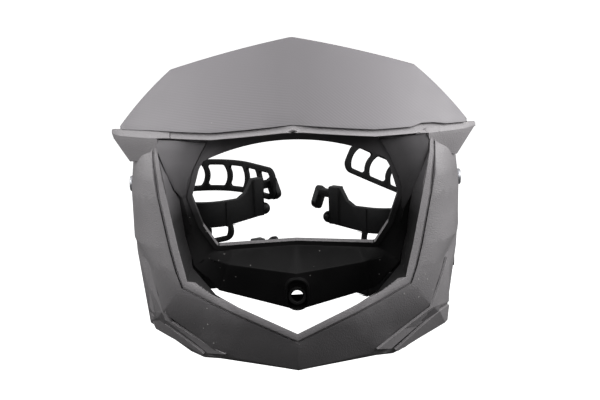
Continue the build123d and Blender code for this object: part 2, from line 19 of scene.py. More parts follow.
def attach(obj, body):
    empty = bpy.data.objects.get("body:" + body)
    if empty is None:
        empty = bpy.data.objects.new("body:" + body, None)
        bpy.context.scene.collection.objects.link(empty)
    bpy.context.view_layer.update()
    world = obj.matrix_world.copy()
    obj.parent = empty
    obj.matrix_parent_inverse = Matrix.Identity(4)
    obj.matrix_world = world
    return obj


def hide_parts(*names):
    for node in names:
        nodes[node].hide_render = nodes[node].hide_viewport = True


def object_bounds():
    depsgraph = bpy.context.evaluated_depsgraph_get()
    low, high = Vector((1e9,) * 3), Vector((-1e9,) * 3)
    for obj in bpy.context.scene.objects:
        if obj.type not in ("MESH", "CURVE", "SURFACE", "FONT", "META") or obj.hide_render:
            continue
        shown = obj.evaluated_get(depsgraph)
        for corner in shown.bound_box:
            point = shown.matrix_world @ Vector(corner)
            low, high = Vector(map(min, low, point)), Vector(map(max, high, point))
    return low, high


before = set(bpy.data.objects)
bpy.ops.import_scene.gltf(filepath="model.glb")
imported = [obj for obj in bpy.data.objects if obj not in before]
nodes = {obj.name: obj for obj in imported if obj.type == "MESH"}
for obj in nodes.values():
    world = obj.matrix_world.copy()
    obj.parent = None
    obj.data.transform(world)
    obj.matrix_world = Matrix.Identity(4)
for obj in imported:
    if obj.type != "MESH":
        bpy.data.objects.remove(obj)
cad_low, cad_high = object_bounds()
print("CAD nodes:", len(nodes), "box in mm:", [round(1000 * a) for a in cad_high - cad_low])

# %% [markdown]
# ## The camera
#
# A product photographer stands well back with a long lens, so the mask looks almost free of
# perspective. A short lens close by would swell whatever stands nearest. Four numbers hold the view: how
# far the camera is turned round the mask, how far it looks down, its small roll, and its distance. The
# lens follows from the picture's width.

# %% Place the camera
camera_turn = radians(0.477)
camera_rise = radians(12.0)
camera_roll = radians(-1.353)
camera_distance = 1.1
aim = Vector((0.003533, 0, -0.005))
film_width = 36
picture_width, pixels_per_unit_slope = 600, 1485

back = Vector((sin(camera_turn) * cos(camera_rise), -cos(camera_turn) * cos(camera_rise), sin(camera_rise)))
level_right = Vector((cos(camera_turn), sin(camera_turn), 0))
level_up = back.cross(level_right)
right = cos(camera_roll) * level_right + sin(camera_roll) * level_up
up = cos(camera_roll) * level_up - sin(camera_roll) * level_right


def select_only(*chosen):
    """Leaves just these objects selected, with the first one active."""
    bpy.ops.object.select_all(action="DESELECT")
    for item in chosen:
        item.select_set(True)
    if chosen:
        bpy.context.view_layer.objects.active = chosen[0]


select_only()
bpy.ops.object.camera_add(location=aim + camera_distance * back)
camera = bpy.context.active_object
camera.name = "photo_camera"
camera.rotation_euler = Matrix((right, up, back)).transposed().to_euler()
camera.data.sensor_width = film_width
camera.data.lens = film_width * pixels_per_unit_slope / picture_width
bpy.context.scene.camera = camera
print("lens:", round(camera.data.lens, 1), "mm")

# %% [markdown]
# ## Light
#
# Black plastic shows its form by what it reflects, so it wants wide lamps: a small one would leave hard
# glints. A soft box on each side lights the pillars and the visor's flanks, a weaker one in front lights
# the ears and the lip, and a dim one hangs above. Nothing shines from below, so the chin and the funnel
# stay dark, as they do on the real mask.

# %% Add the soft boxes
def soft_box(name, place, width, height, radiance):
    """Adds an area lamp that faces the mask's middle and whose surface has the given radiance."""
    select_only()
    bpy.ops.object.light_add(type="AREA", location=place)
    lamp = bpy.context.active_object
    lamp.name = name
    lamp.data.shape = "RECTANGLE"
    lamp.data.size, lamp.data.size_y = width, height
    lamp.data.energy = radiance * pi * width * height
    lamp.rotation_euler = (Vector() - Vector(place)).to_track_quat("-Z", "Y").to_euler()
    print(name, round(lamp.data.energy, 1), "W")


soft_box("top_soft_box", (0, -0.3, 1.2), width=1.1, height=0.6, radiance=1.0)
soft_box("left_soft_box", (-1.2, -0.4, 0.75), width=1.1, height=0.9, radiance=4.9)
soft_box("right_soft_box", (1.2, -0.4, 0.75), width=1.1, height=0.9, radiance=7.8)
soft_box("front_soft_box", (0, -1.3, 1.0), width=1.2, height=0.7, radiance=2.1)

# %% [markdown]
# A world and a material are trees of nodes. Two short helpers add a node and join two sockets, and three
# more make the nodes that turn up in nearly every tree: a Math node, a mix of two colours, and a map from
# one range of values to another.

# %% Helpers for node trees
def node_tools(tree):
    """Gives the two helpers that add a node and join two sockets of one tree."""
    def add(kind, **settings):
        node = tree.nodes.new(kind)
        for key, value in settings.items():
            setattr(node, key, value)
        return node

    def join(output, target):
        tree.links.new(output, target)

    return add, join


def calculated(add, join, operation, *terms):
    """A Math node's result, whose terms are sockets or plain numbers."""
    node = add("ShaderNodeMath", operation=operation)
    for term, socket in zip(terms, node.inputs):
        if isinstance(term, (int, float)):
            socket.default_value = term
        else:
            join(term, socket)
    return node.outputs[0]


def grey(level):
    """A neutral colour."""
    return level, level, level


def mixed_colour(add, join, mask, plain, other):
    """A mix node that goes from the plain colour to the other where the mask is 1."""
    node = add("ShaderNodeMix", data_type="RGBA")
    node.inputs["A"].default_value = (*plain, 1)
    node.inputs["B"].default_value = (*other, 1)
    join(mask, node.inputs["Factor"])
    return node


def spread(add, join, value, low, high, from_low, from_high):
    """Maps a value to the range from low to high, and stops it there."""
    node = add("ShaderNodeMapRange")
    node.inputs["From Min"].default_value = from_low
    node.inputs["From Max"].default_value = from_high
    node.inputs["To Min"].default_value = low
    node.inputs["To Max"].default_value = high
    join(value, node.inputs["Value"])
    return node.outputs["Result"]


print("helpers ready: node_tools, calculated, grey, mixed_colour, spread")

# %% [markdown]
# The background is white in the photograph. A bright world would do that and light the mask from
# all sides too, so the world is pale only where the camera sees it, directly or mirrored in a surface,
# and a dim grey where it lights the mask.

# %% Set up the world
world = bpy.data.worlds.new("studio")
bpy.context.scene.world = world
world.use_nodes = True
world.node_tree.nodes.clear()
add, join = node_tools(world.node_tree)
rays = add("ShaderNodeLightPath")
direct = calculated(add, join, "MAXIMUM", rays.outputs["Is Camera Ray"], rays.outputs["Is Transmission Ray"])
seen = calculated(add, join, "MAXIMUM", direct, rays.outputs["Is Glossy Ray"])
fill = add("ShaderNodeBackground")
fill.inputs["Strength"].default_value = 0.1
pale = add("ShaderNodeBackground")
pale.inputs["Strength"].default_value = 1.0
mix = add("ShaderNodeMixShader")
output = add("ShaderNodeOutputWorld")
join(seen, mix.inputs["Fac"])
join(fill.outputs[0], mix.inputs[1])
join(pale.outputs[0], mix.inputs[2])
join(mix.outputs[0], output.inputs["Surface"])
bpy.context.scene.view_settings.view_transform = "Standard"
print("world nodes:", len(world.node_tree.nodes))

# %% [markdown]
# The floor lies well below the mask, which hangs on its fork in use. To the camera it is white paper:
# nearly white of itself under the mask, where it keeps a faint shadow, and quite white further away. It
# throws little light up under the chin, as if the table in front of the paper were dark. A plain white
# floor would brighten the chin and the funnel, which are dark on the real mask.

# %% Lay the floor
floor_height, floor_radius = -0.34, 24
select_only()
bpy.ops.mesh.primitive_circle_add(vertices=96, radius=floor_radius, fill_type="NGON",
                                  location=(0, 0, floor_height))
floor = bpy.context.active_object
floor.name = "studio_floor"
print("floor radius:", floor_radius, "m, height:", floor_height, "m")

# %% Material: floor paper
floor_paint = bpy.data.materials.new("floor_paper")
floor_paint.use_nodes = True
add, join = node_tools(floor_paint.node_tree)
shader = floor_paint.node_tree.nodes["Principled BSDF"]
shader.inputs["Roughness"].default_value = 0.9
shader.inputs["Emission Color"].default_value = (1, 1, 1, 1)
place = add("ShaderNodeTexCoord")
distance = add("ShaderNodeVectorMath", operation="LENGTH")
join(place.outputs["Object"], distance.inputs[0])
whiter = spread(add, join, distance.outputs["Value"], 0.8, 1.0, 0.4, 1.2)
rays = add("ShaderNodeLightPath")
direct = calculated(add, join, "MAXIMUM", rays.outputs["Is Camera Ray"], rays.outputs["Is Transmission Ray"])
tone = mixed_colour(add, join, direct, grey(0.08), grey(0.8))
join(tone.outputs["Result"], shader.inputs["Base Color"])
join(calculated(add, join, "MULTIPLY", direct, whiter), shader.inputs["Emission Strength"])
floor.data.materials.append(floor_paint)
print(floor_paint.name, "has", len(floor_paint.node_tree.nodes), "nodes")

# %% [markdown]
# ## Soft moulded edges
#
# A CAD solid has knife-sharp edges, and real mouldings never do: the tool that cuts the mould leaves
# a small radius, which catches a thin line of light. A bevel in the shader would hide the sharp edge in
# a render only, so the mesh itself is rounded. Each solid is copied, its loose triangles are merged,
# flat areas become single faces, and a Bevel modifier rounds what is left.

# %% Copy a solid and round its edges
def moulded(node, radius, sharpest=26, flat=0.6, merge=0.00001):
    """Makes the piece that stands for a CAD node; sharpest and flat are angles in degrees."""
    source = nodes[node]
    piece = source.copy()
    piece.data = source.data.copy()
    piece.name = node + "_piece"
    for key in list(piece.keys()):
        del piece[key]
    piece.parent = None
    bpy.context.scene.collection.objects.link(piece)
    piece.hide_render = piece.hide_viewport = False
    select_only(piece)
    bpy.ops.object.mode_set(mode="EDIT")
    bpy.ops.mesh.select_all(action="SELECT")
    bpy.ops.mesh.remove_doubles(threshold=merge)
    if flat:
        bpy.ops.mesh.dissolve_limited(angle_limit=radians(flat))
    bpy.ops.object.mode_set(mode="OBJECT")
    bevel = piece.modifiers.new("rounded_edges", "BEVEL")
    bevel.width = radius
    bevel.segments = 2
    bevel.limit_method = "ANGLE"
    bevel.angle_limit = radians(sharpest)
    bevel.use_clamp_overlap = False
    bpy.ops.object.modifier_apply(modifier=bevel.name)
    bpy.ops.object.shade_smooth_by_angle(angle=radians(sharpest + 6))
    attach(piece, "root")
    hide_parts(node)
    print(piece.name, len(piece.data.polygons), "faces")
    return piece


pieces = {}
pieces["mask_shell"] = moulded("mask_shell", radius=0.0004, sharpest=15, flat=0.05,
                               merge=0.0002)
pieces["visor_panel"] = moulded("visor_panel", radius=0.0004, flat=0)

# %% [markdown]
# The small parts come in fours. A rubber strap or a plastic bracket has a wider edge radius than a steel
# screw, so a short table lists a slot name and a radius for each kind; only the radius is used here.

# %% Dress the small parts
small_parts = {"fork_bracket": ("bracket_plastic", 0.0006), "rubber_strap": ("strap_rubber", 0.0005),
               "side_screw": ("screw_steel", 0.00015), "side_washer": ("washer_steel", 0.0001),
               "lock_nut": ("zinc_steel", 0.0002), "visor_screw": ("screw_steel", 0.0001)}
for name in sorted(nodes):
    for kind, (slot, radius) in small_parts.items():
        if name.startswith(kind):
            pieces[name] = moulded(name, radius=radius)

# %% [markdown]
# ## Pillar tops and ears
#
# On the real mask each pillar sinks under the ear at its top, and the strip runs out to a point there.
# The solid's pillar ends square. Its top is pushed back behind the lip, and the strip's inner edge is
# pushed outwards. A cut would leave a new edge, so each push is a Displace modifier whose strength comes
# from a vertex group, as with a soft brush. The lip itself is left alone.

# %% Helpers for soft pushes
def ramp(value, low, high):
    """Goes from 0 at low to 1 at high in a straight line."""
    return min(max((value - low) / (high - low), 0), 1)


def pushed(piece, group_name, direction, strength, weight_at):
    """Moves the piece's vertices along one axis, each by its own share of the strength."""
    group = piece.vertex_groups.new(name=group_name)
    count = 0
    for vertex in piece.data.vertices:
        weight = weight_at(*vertex.co)
        if weight > 0:
            group.add([vertex.index], weight, "REPLACE")
            count += 1
    push = piece.modifiers.new(group_name, "DISPLACE")
    push.direction = direction
    push.mid_level = 0
    push.strength = strength
    push.vertex_group = group_name
    select_only(piece)
    bpy.ops.object.modifier_apply(modifier=push.name)
    print(group_name, count, "vertices")


print("a ramp half way up:", ramp(0.5, 0, 1))

# %% [markdown]
# The lip's face sweeps back towards its ends and leans back at its top. A formula for that face tells the
# lip from the pillar below it, and later gives the new faces of the ears their place. Reading it off the
# mesh would catch the pillar too.

# %% The lip's face
lip_middle_y, lip_sweep, lip_half_width = -41, 39, 130
lip_top_z, lip_lean = 53.2, 0.72
lip_foot, lip_crown, ahead_of_lip = 0.0466, 0.0525, 0.0003


def lip_place(x, z):
    """A place on the lip's slanting face, all in millimetres."""
    swept_back = lip_sweep * (abs(x) / lip_half_width) ** 2.5
    return Vector((x, lip_middle_y + swept_back - lip_lean * (lip_top_z - z), z))


def lip_face_y(x, z):
    """The lip's face at a place in front view, all in metres."""
    return lip_place(1000 * x, 1000 * z).y / 1000


print("the lip's end lies", lip_sweep, "mm behind its middle, at y", lip_place(lip_half_width, lip_top_z).y)

# %% Sink the pillar tops
strip_inside = 0.084
strip_push, top_push = 0.0046, 0.0056


def is_pillar(x, y, z):
    """Leaves out the lip; x, y and z are in metres."""
    return z < lip_foot or (z < lip_crown and y < lip_face_y(x, z) - ahead_of_lip)


def sink(x, y, z):
    """The share of the push at a place on the pillar: it fades out inwards, outwards, rearwards and down."""
    inner_fade = ramp(abs(x), strip_inside, 0.104 if z < lip_foot else 0.088)
    outer_fade = 1 - ramp(abs(x), 0.117, 0.123)
    rear_fade = 1 - ramp(y, -0.012, 0)
    return is_pillar(x, y, z) * inner_fade * outer_fade * rear_fade * ramp(z, 0.019, 0.039)


def narrow(x, y, z):
    """The share of the push at a place on the strip: most at its inner edge, near the top."""
    inner_fade = ramp(abs(x), strip_inside, 0.094)
    outer_fade = 1 - ramp(abs(x), 0.094, 0.0989)
    rear_fade = 1 - ramp(y, -0.016, -0.008)
    return is_pillar(x, y, z) * inner_fade * outer_fade * rear_fade * ramp(z, 0.02, 0.047)


shell_piece = pieces["mask_shell"]
pushed(shell_piece, "strip_point_right", "X", strip_push, lambda x, y, z: narrow(x, y, z) if x > 0 else 0)
pushed(shell_piece, "strip_point_left", "X", -strip_push, lambda x, y, z: narrow(x, y, z) if x < 0 else 0)
pushed(shell_piece, "sunk_tops", "Y", top_push, sink)

# %% [markdown]
# A moulding's web is a thin sheet between two edges. Extruding an outline would only give a flat one, so
# a small grid is drawn to two rows of points, and a Solidify modifier gives it the wall's thickness.

# %% Helpers for thin walls
ear_reach = cad_high.x - 0.0001
weld_distance, wall_edge_radius = 0.0001, 0.0002


def ruled(side, first_row, last_row, rows):
    """Makes a grid of quads between two rows of points in millimetres; side -1 mirrors it to the left."""
    select_only()
    bpy.ops.mesh.primitive_grid_add(x_subdivisions=len(first_row) - 1, y_subdivisions=rows, size=1)
    sheet = bpy.context.active_object
    for vertex in sheet.data.vertices:
        column = round((vertex.co.x + 0.5) * (len(first_row) - 1))
        share = 0.5 - vertex.co.y
        place = Vector(first_row[column]).lerp(Vector(last_row[column]), share) / 1000
        vertex.co = (side * place.x, place.y, place.z)
    return sheet


def thin_wall(name, sheets, thickness, smooth=16):
    """Joins sheets into one wall that faces the front, shaded smooth up to an angle in degrees."""
    piece = sheets[0]
    piece.name = name
    select_only(*sheets)
    if len(sheets) > 1:
        bpy.ops.object.join()
    bpy.ops.object.mode_set(mode="EDIT")
    bpy.ops.mesh.select_all(action="SELECT")
    bpy.ops.mesh.remove_doubles(threshold=weld_distance)
    bpy.ops.mesh.normals_make_consistent(inside=False)
    if sum(face.normal.y for face in piece.data.polygons) > 0:
        bpy.ops.mesh.flip_normals()
    bpy.ops.object.mode_set(mode="OBJECT")
    wall = piece.modifiers.new("wall", "SOLIDIFY")
    wall.thickness = thickness
    wall.offset = -1
    bpy.ops.object.modifier_apply(modifier=wall.name)
    for vertex in piece.data.vertices:
        vertex.co.x = min(max(vertex.co.x, -ear_reach), ear_reach)
    edge = piece.modifiers.new("rounded_edges", "BEVEL")
    edge.width = wall_edge_radius
    edge.segments = 2
    edge.limit_method = "ANGLE"
    edge.angle_limit = radians(40)
    bpy.ops.object.modifier_apply(modifier=edge.name)
    bpy.ops.object.shade_smooth_by_angle(angle=radians(smooth))
    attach(piece, "root")
    print(piece.name, len(piece.data.polygons), "faces")
    return piece


sides = {"right": 1, "left": -1}
print("sides:", ", ".join(sides))

# %% [markdown]
# Each ear is a thin web between the lip's lower edge and the side wall, and the lip's face runs on above
# it to the ear's tip. The face starts a millimetre behind the lip's own skin and comes out through it.

# %% Make the ear webs
lip_columns = [97, 103, 109, 115, 120, 124.4]
face_foot, face_top, face_start = 47.7, 51.9, 88
lip_edge = [lip_place(x, face_foot) for x in lip_columns] + [(129.1, -4.9, 48.1), (133.2, 0, 48.4)]
foot_edge = [(97.6, -23.8, 34), (101.5, -21.0, 32.8), (105, -18.4, 31.7), (108.8, -15.8, 30.8),
             (112.4, -13.2, 30), (115.2, -11.3, 29.4), (117.2, -9.8, 29), (119, -8.6, 28.7)]
under_skin = Vector((0, 1, 0))
face_low = [lip_place(face_start, face_foot) + under_skin, *lip_edge]
face_high = [lip_place(face_start, face_top) + under_skin, *(lip_place(x, face_top) for x in lip_columns),
             (128.8, -3.4, 51.7), (132, -0.3, 51)]
for word, side in sides.items():
    name = "ear_web_" + word
    web = ruled(side, lip_edge, foot_edge, 6)
    face = ruled(side, face_high, face_low, 2)
    pieces[name] = thin_wall(name, [web, face], 0.0016)

# %% [markdown]
# The chin's lower corners carry two raised layers with a dark groove between them, as if plates were
# stacked there. Steps in the shell's own mesh would need its faces cut, so each layer is a sheet between
# two rows of points that lie about one millimetre in front of the shell, as measured on its surface. The
# two corners of the real mask don't look quite alike, so each side has its own rows.

# %% Make the corner layers
layer_rows = {
    "corner_layer_upper_right": (
        [(110.1, -8.1, -48.4), (103.7, -21.9, -63.7), (96.5, -30.7, -80), (76, -37, -93.6),
         (56.5, -44.6, -106.4)],
        [(111.6, -5.1, -50.7), (112, -2.9, -68.2), (111.9, -1, -84.2), (86.1, -27.7, -94.8),
         (66.8, -37.6, -108.5)]),
    "corner_layer_lower_right": (
        [(112, -1, -86.9), (103.6, -19.2, -86), (86.9, -26.4, -97.6), (70, -33.7, -110.4)],
        [(110.9, -0.2, -98.9), (109, -2.1, -100.3), (89.2, -14.3, -107.5), (72.4, -28.7, -112.8)]),
    "corner_layer_upper_left": (
        [(-106.8, -13.6, -43), (-102.7, -22.2, -63), (-96.6, -30, -80.8), (-93, -29, -88.5),
         (-75.6, -34.5, -98.7), (-53.2, -46.1, -108.6)],
        [(-109.8, -9.1, -63.9), (-111.3, -3, -84), (-108.7, -8.5, -86.1), (-97.5, -24.1, -88.3),
         (-76, -31.3, -103.6), (-66, -37, -110.4)]),
    "corner_layer_lower_left": (
        [(-111.2, -2, -88.6), (-108.9, -7.6, -89), (-97.8, -22.3, -92.2), (-79.9, -27.6, -105.1),
         (-69.5, -33.7, -111.8)],
        [(-110.8, -1.2, -93.3), (-107.2, -3.5, -101), (-96.3, -9.4, -105.7), (-80.7, -19.6, -111.4),
         (-71, -29.5, -113.6)]),
}
for name, (inner_row, outer_row) in layer_rows.items():
    pieces[name] = thin_wall(name, [ruled(1, inner_row, outer_row, 2)], 0.002)

# %% [markdown]
# Between the strip and the lamp ring each cheek is one even sweep from the lip down to a point. Smoother
# shading alone would keep the solid's facets, so a thin skin lies over them. It is drawn through three
# rows of points in front of the shell's surface, from the strip to the ring.

# %% Make the cheeks
cheek_rows = {
    "cheek_skin_left": (
        [(-99.4, -24.6, 46.7), (-97.8, -26.8, 39.6), (-93, -28, 25.5), (-87.5, -24.5, 10.3),
         (-83.1, -17.4, 2.5)],
        [(-81.1, -29.6, 46.4), (-82.9, -28.8, 37.9), (-82.9, -26.3, 26.5), (-83.1, -21.4, 12.6),
         (-81.5, -17.7, 4.1)],
        [(-62.6, -28.6, 44.8), (-67.4, -25.4, 36.3), (-71.8, -23.2, 27.9), (-77.9, -20.6, 15.8),
         (-79.7, -17.6, 5.5)]),
    "cheek_skin_right": (
        [(97.7, -25.2, 47.3), (96.1, -26.6, 35), (91.5, -28.2, 21.1), (84.6, -18.2, 0.4),
         (79, -12.3, -11.9)],
        [(79.1, -29.9, 46.1), (82.7, -28, 33.4), (83.7, -23.6, 18.6), (81, -17.5, 3.4),
         (78.3, -12.8, -10.3)],
        [(62, -28.1, 44.1), (69.6, -24.4, 30.1), (75.1, -20.5, 16), (77.7, -18, 6.6),
         (77.9, -13.2, -8.6)]),
}
for name, (outer_row, middle_row, ring_row) in cheek_rows.items():
    sheets = [ruled(1, outer_row, middle_row, 3), ruled(1, middle_row, ring_row, 3)]
    pieces[name] = thin_wall(name, sheets, 0.0012, smooth=60)

# %% [markdown]
# A short web behind each end of the cross panel closes the wedge towards the pillar, so that no light
# shows there. A flat sheet is enough, because little of it is ever seen.

# %% Make the funnel webs
for word, side in sides.items():
    name = "funnel_web_" + word
    sheet = ruled(side, [(67, 1, -45), (84, 1, -45)], [(67, 1, -61.5), (84, 1, -66)], 1)
    pieces[name] = thin_wall(name, [sheet], 0.0015)

# %% [markdown]
# ## Shared effects
#
# Several finishes need the same small effects. Copies of the nodes would drift apart, so each effect is
# a node group, built once and used with its own numbers in each material.

# %% Helper for node groups
def new_group(name, inputs, outputs):
    """An empty shader node group whose inputs and outputs are numbers."""
    tree = bpy.data.node_groups.new(name, "ShaderNodeTree")
    for label in inputs:
        tree.interface.new_socket(label, in_out="INPUT", socket_type="NodeSocketFloat")
    for label in outputs:
        tree.interface.new_socket(label, in_out="OUTPUT", socket_type="NodeSocketFloat")
    add, join = node_tools(tree)
    return tree, add("NodeGroupInput"), add("NodeGroupOutput"), add, join


print("helper ready: new_group")

# %% [markdown]
# The first effect is the fine pebble grain that is etched into the mould, with a slow noise beside it
# for whatever is uneven on a larger scale. A Voronoi texture gives round pebbles, where a noise texture
# would give hills.

# %% Node group: pebble grain
pebble_grain, given, result, add, join = new_group(
    "pebble_grain", ["Cells per metre", "Softness"], ["Height", "Tone"])
place = add("ShaderNodeTexCoord")
cells = add("ShaderNodeTexVoronoi", feature="SMOOTH_F1")
join(place.outputs["Object"], cells.inputs["Vector"])
join(given.outputs["Cells per metre"], cells.inputs["Scale"])
join(given.outputs["Softness"], cells.inputs["Smoothness"])
broad = add("ShaderNodeTexNoise")
broad.inputs["Scale"].default_value = 35
broad.inputs["Detail"].default_value = 5
join(place.outputs["Object"], broad.inputs["Vector"])
join(cells.outputs["Distance"], result.inputs["Height"])
join(broad.outputs["Fac"], result.inputs["Tone"])
print(pebble_grain.name, "has", len(pebble_grain.nodes), "nodes")

# %% [markdown]
# The second is dust. A mask that has lain in a workshop carries pale specks, thick in some places
# and absent in others. Small Voronoi cells give the specks, and a slow noise says where they lie.

# %% Node group: dust specks
dust_specks, given, result, add, join = new_group(
    "dust_specks", ["Specks per metre", "Speck size", "Coverage"], ["Mask"])
place = add("ShaderNodeTexCoord")
specks = add("ShaderNodeTexVoronoi")
join(place.outputs["Object"], specks.inputs["Vector"])
join(given.outputs["Specks per metre"], specks.inputs["Scale"])
near = calculated(add, join, "LESS_THAN", specks.outputs["Distance"], given.outputs["Speck size"])
patches = add("ShaderNodeTexNoise")
patches.inputs["Scale"].default_value = 22
patches.inputs["Detail"].default_value = 3
join(place.outputs["Object"], patches.inputs["Vector"])
chosen = calculated(add, join, "LESS_THAN", patches.outputs["Fac"], given.outputs["Coverage"])
join(calculated(add, join, "MULTIPLY", near, chosen), result.inputs["Mask"])
print(dust_specks.name, "has", len(dust_specks.nodes), "nodes")

# %% [markdown]
# ## Helpers for finishes
#
# Each finish starts from one Principled shader. What is the same all over is set on the shader itself,
# and only what changes from place to place gets nodes.

# %% Helpers for finishes
def new_finish(name, specular=0.5):
    """A material with a Principled shader, and the tools to build on it."""
    material = bpy.data.materials.new(name)
    material.use_nodes = True
    add, join = node_tools(material.node_tree)
    shader = material.node_tree.nodes["Principled BSDF"]
    shader.inputs["Specular IOR Level"].default_value = specular
    return material, shader, add, join


def use_group(add, tree, **values):
    """Places a node group and sets its inputs, whose names are given with underscores."""
    node = add("ShaderNodeGroup", node_tree=tree)
    for key, value in values.items():
        node.inputs[key.replace("_", " ")].default_value = value
    return node


def axes(add, join):
    """The place on the piece in metres, parted into X, Y and Z."""
    place = add("ShaderNodeTexCoord")
    parts = add("ShaderNodeSeparateXYZ")
    join(place.outputs["Object"], parts.inputs[0])
    return parts.outputs


def tinted(add, join, colour, other):
    """Multiplies one colour by another."""
    node = add("ShaderNodeMix", data_type="RGBA", blend_type="MULTIPLY")
    node.inputs["Factor"].default_value = 1.0
    join(colour, node.inputs["A"])
    join(other, node.inputs["B"])
    return node.outputs["Result"]


def raised(add, join, height, shader, strength, distance):
    """Feeds a height into the shader's normal through a Bump node."""
    bump = add("ShaderNodeBump")
    bump.inputs["Strength"].default_value = strength
    bump.inputs["Distance"].default_value = distance
    join(height, bump.inputs["Height"])
    join(bump.outputs["Normal"], shader.inputs["Normal"])


print("helpers ready: new_finish, use_group, axes, tinted, raised")

# %% [markdown]
# ## Moulded black plastic
#
# The frame is one black moulding with a satin, finely grained skin. Its base colour follows the height as
# painted light from above: the ears and the lip are palest, the pillars are grey, and the chin is dark.
# Handling leaves faint dull smudges, which show as uneven gloss.

# %% Material: moulded plastic
plastic, shader, add, join = new_finish("satin_black_plastic", specular=0.36)
grain = use_group(add, pebble_grain, Cells_per_metre=1100, Softness=0.5)
dust = use_group(add, dust_specks, Specks_per_metre=170, Speck_size=0.09, Coverage=0.42)
parts = axes(add, join)
# Painted light from above: the base colour is dark at the chin, grey on the pillars and palest at the lip
# and ears.
above_chin = spread(add, join, parts["Z"], 0, 1, -0.088, -0.05)
near_lip = spread(add, join, parts["Z"], 0, 1, 0.018, 0.046)
body = mixed_colour(add, join, above_chin, (0.09, 0.086, 0.089), (0.236, 0.226, 0.233))
body.name = "chin_to_pillar"
painted_top_light = mixed_colour(add, join, near_lip, grey(0), (0.345, 0.33, 0.34))
join(body.outputs["Result"], painted_top_light.inputs["A"])
cloudy = mixed_colour(add, join, grain.outputs["Tone"], grey(0.86), grey(1.14))
base = tinted(add, join, painted_top_light.outputs["Result"], cloudy.outputs["Result"])
dusty = mixed_colour(add, join, dust.outputs["Mask"], grey(0), (0.42, 0.41, 0.4))
join(base, dusty.inputs["A"])
join(dusty.outputs["Result"], shader.inputs["Base Color"])
join(spread(add, join, grain.outputs["Tone"], 0.40, 0.56, 0.35, 0.65), shader.inputs["Roughness"])
raised(add, join, grain.outputs["Height"], shader, strength=0.5, distance=0.0004)
print(plastic.name, "has", len(plastic.node_tree.nodes), "nodes")

# %% [markdown]
# The corner layers and the strip stand proud, and their colour is painted paler as a painted highlight where
# they catch the light. Their finish is a copy of the plastic with one paler tone, so that grain and dust run
# on across the edge.

# %% Material: painted highlight on the corner layers
highlit_plastic = plastic.copy()
highlit_plastic.name = "painted_highlight_plastic"
highlight_tone = highlit_plastic.node_tree.nodes["chin_to_pillar"].inputs["A"]
highlight_tone.default_value = (0.2, 0.191, 0.197, 1)
print(highlit_plastic.name, "at the chin:", [round(level, 3) for level in highlight_tone.default_value[:3]])

# %% [markdown]
# The faces inside the frame are smooth, with hardly any grain. Their colour is painted shade and painted
# light: deep black low down and at the brow, where shade falls in the recess, and grey where light reaches
# the cheeks, the left one more than the right. One black would lose that, so the height, the side and the
# distance from the middle each mix in their share.

# %% Material: smooth inner faces with painted shade
inner_plastic, shader, add, join = new_finish("smooth_plastic_with_painted_shade", specular=0.12)
parts = axes(add, join)
grain = use_group(add, pebble_grain, Cells_per_metre=700, Softness=0.9)
dust = use_group(add, dust_specks, Specks_per_metre=190, Speck_size=0.1, Coverage=0.4)
# Painted shade and light: dark low down in the recess, grey higher up where light reaches the cheeks.
height = spread(add, join, parts["Z"], 0, 1, -0.012, 0.03)
painted_shade_by_height = mixed_colour(add, join, height, (0.018, 0.0175, 0.018), (0.155, 0.149, 0.155))
cloudy = mixed_colour(add, join, grain.outputs["Tone"], grey(0.8), grey(1.15))
# Painted light: the left side is painted paler than the right.
to_right = spread(add, join, parts["X"], 0, 1, -0.06, 0.06)
painted_left_light = mixed_colour(add, join, to_right, grey(1.6), grey(0.75))
# Painted shade at the brow, near the middle.
off_middle = calculated(add, join, "ABSOLUTE", parts["X"])
at_cheek = spread(add, join, off_middle, 0, 1, 0.05, 0.072)
painted_brow_shade = mixed_colour(add, join, at_cheek, grey(0.42), grey(1))
painted_brow_shade.name = "painted_brow_shade"
clouded = tinted(add, join, painted_shade_by_height.outputs["Result"], cloudy.outputs["Result"])
shaded = tinted(add, join, clouded, painted_brow_shade.outputs["Result"])
uneven = tinted(add, join, shaded, painted_left_light.outputs["Result"])
dusty = mixed_colour(add, join, dust.outputs["Mask"], grey(0), (0.17, 0.165, 0.16))
join(uneven, dusty.inputs["A"])
join(dusty.outputs["Result"], shader.inputs["Base Color"])
join(spread(add, join, grain.outputs["Tone"], 0.34, 0.48, 0.35, 0.65), shader.inputs["Roughness"])
raised(add, join, grain.outputs["Height"], shader, strength=0.1, distance=0.0002)
print(inner_plastic.name, "has", len(inner_plastic.node_tree.nodes), "nodes")

# %% [markdown]
# The cheeks share that finish, but their painted light runs right up to the ring. So their copy of it has
# the painted shade at the brow taken out.

# %% Material: cheeks
cheek_plastic = inner_plastic.copy()
cheek_plastic.name = "painted_light_cheek_plastic"
cheek_plastic.node_tree.nodes["painted_brow_shade"].inputs["A"].default_value = (1, 1, 1, 1)
print(cheek_plastic.name, "is a copy of", inner_plastic.name)

# %% [markdown]
# ## Carbon-look visor
#
# The visor's skin imitates woven carbon: fine slanting threads under a satin coat. The threads run
# nearly level on the left half and slant down on the right half. A checked weave would show squares that
# the real skin doesn't have, so each half gets the sine of a slanting height. The threads are clearest
# low in the middle and fade towards the top and the flanks.

# %% Material: woven film
film, shader, add, join = new_finish("woven_film", specular=0.35)
parts = axes(add, join)
grain = use_group(add, pebble_grain, Cells_per_metre=2200, Softness=0.7)
dust = use_group(add, dust_specks, Specks_per_metre=150, Speck_size=0.08, Coverage=0.36)


def threads(slant, per_metre):
    """Fine parallel lines in front view, falling by the slant for each step to the right."""
    fall = calculated(add, join, "MULTIPLY_ADD", parts["X"], slant, parts["Z"])
    phase = calculated(add, join, "MULTIPLY", fall, per_metre * tau)
    return calculated(add, join, "SINE", phase)


